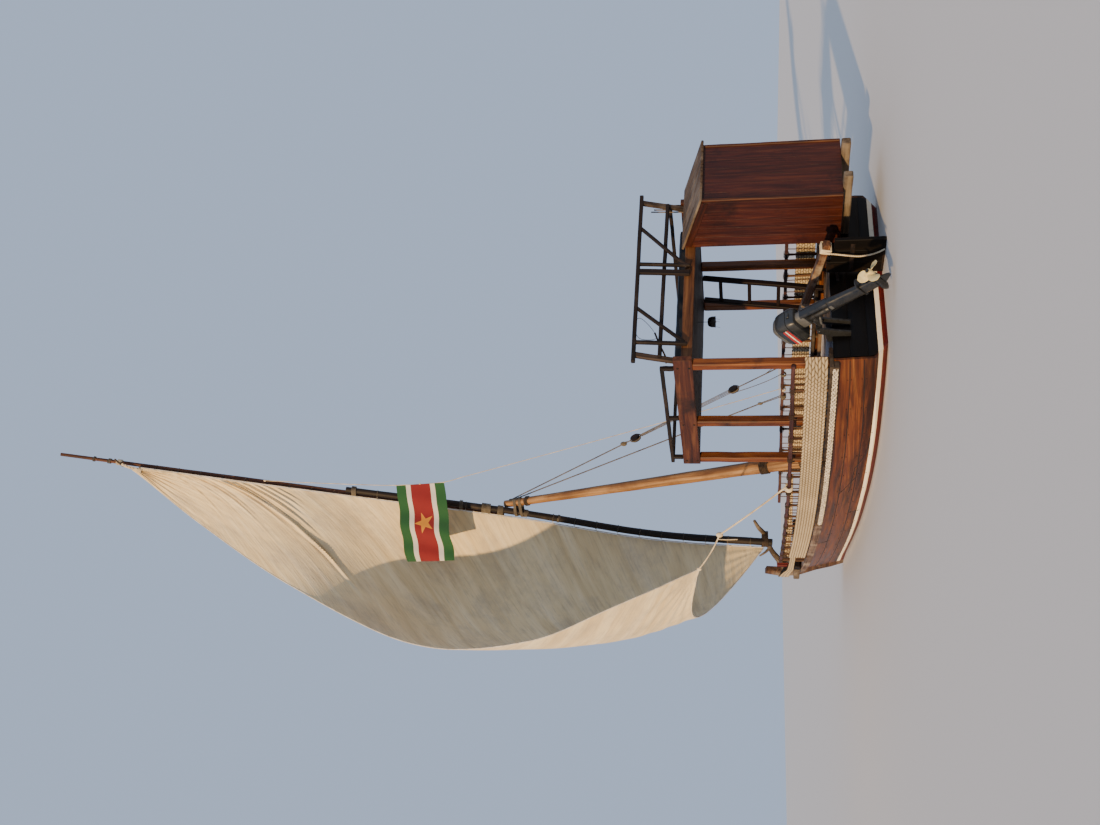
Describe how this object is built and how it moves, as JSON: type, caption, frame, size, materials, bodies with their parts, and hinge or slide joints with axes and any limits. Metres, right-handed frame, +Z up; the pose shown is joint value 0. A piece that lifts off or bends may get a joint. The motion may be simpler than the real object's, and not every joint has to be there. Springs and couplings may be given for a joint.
{
  "type": "lateen-rigged dhow sailing boat",
  "caption": "Small wooden dhow afloat, with a lateen sail on a raked mast, a roofed stern, a closet hung over the transom and a tilted outboard motor.",
  "frame": {"origin": "on the centreline at the still waterline, at the middle of the waterline length", "axes": "+X forward to the stem, +Y to port, +Z up"},
  "size_m": [7.6385, 3.7466, 11.1556],
  "materials": {
    "hull_planks": "oiled planking, worn",
    "dark_wood": "tarred and weathered dark",
    "deck_wood": "bare weathered boards",
    "post_wood": "varnished, worn at the edges",
    "closet_wood": "varnished reddish boards",
    "spar_wood": "bare round pole",
    "mat_straw": "woven palm-leaf matting",
    "canvas": "worn cotton sailcloth",
    "rope": "laid natural fibre rope",
    "cushion_cloth": "plain grey cotton cover",
    "flag_cloth": "striped bunting",
    "black_paint": "satin dark grey paint",
    "cast_alloy": "painted casting, scuffed",
    "pale_enamel": "cream enamel, worn",
    "lamp_black": "matt black"
  },
  "bodies": {
    "hull": {"bottom_planking": "hull_planks", "port_topside": "hull_planks", "starboard_topside": "hull_planks", "port_rail": "deck_wood", "starboard_rail": "deck_wood", "port_bench": "deck_wood", "starboard_bench": "deck_wood", "sole": "deck_wood", "aft_deck": "deck_wood", "foredeck": "deck_wood", "closet_floor": "deck_wood", "closet_roof": "deck_wood", "port_handrail": "post_wood", "starboard_handrail": "post_wood", "port_canopy_side": "post_wood", "starboard_canopy_side": "post_wood", "roof_rail": "post_wood", "back_railing": "post_wood", "port_mat": "mat_straw", "starboard_mat": "mat_straw", "bow_mat": "mat_straw", "port_cushion_aft": "cushion_cloth", "port_cushion_fore": "cushion_cloth", "starboard_cushion_aft": "cushion_cloth", "starboard_cushion_fore": "cushion_cloth", "deck_cushion": "cushion_cloth", "roof_mattress": "cushion_cloth", "transom": "dark_wood", "keel_and_stem": "dark_wood", "mast_thwart": "dark_wood", "bow_crossbeam": "dark_wood", "roof_deck": "dark_wood", "ladder": "dark_wood", "closet_port_wall": "closet_wood", "closet_starboard_wall": "closet_wood", "closet_aft_wall": "closet_wood", "closet_front": "closet_wood", "mast": "spar_wood", "main_stay": "rope", "back_stay": "rope", "clamp_bracket": "cast_alloy", "lamp": "lamp_black"},
    "sail_rig": {"yard_lower": "spar_wood", "yard_upper": "spar_wood", "sail": "canvas", "flag": "flag_cloth", "flag_halyard": "rope"},
    "rudder_body": {"rudder": "dark_wood", "tiller": "deck_wood", "tiller_rope": "rope"},
    "closet_door_body": {"closet_door": "closet_wood"},
    "motor_tilt_body": {"swivel_bracket": "cast_alloy"},
    "motor_steer_body": {"motor_leg": "black_paint", "motor_cowl": "black_paint"},
    "propeller_body": {"propeller": "pale_enamel"}
  },
  "joints": [
    {"name": "rig_swing", "type": "hinge", "parent": "hull", "child": "sail_rig", "pos_m": [1.615, 0.112, 4.5], "axis": [-0.2228, 0, 0.9749], "range_deg": [-25, 20]},
    {"name": "rudder_turn", "type": "hinge", "parent": "hull", "child": "rudder_body", "pos_m": [-3.17, 0, 0], "axis": [0, 0, 1], "range_deg": [-35, 35]},
    {"name": "closet_door_swing", "type": "hinge", "parent": "hull", "child": "closet_door_body", "pos_m": [-3.162, -0.462, 1.1], "axis": [0, 0, 1], "range_deg": [0, 90]},
    {"name": "motor_tilt", "type": "hinge", "parent": "hull", "child": "motor_tilt_body", "pos_m": [-3.225, 0.7, 0.62], "axis": [0, 1, 0], "range_deg": [-40, 20]},
    {"name": "motor_steer", "type": "hinge", "parent": "motor_tilt_body", "child": "motor_steer_body", "pos_m": [-3.33991, 0.7, 0.71642], "axis": [0.6428, 0, 0.766], "range_deg": [-38, 38]},
    {"name": "propeller_spin", "type": "hinge", "parent": "motor_steer_body", "child": "propeller_body", "pos_m": [-3.95055, 0.7, 0.21581], "axis": [0.766, 0, -0.6428], "continuous": true}
  ]
}
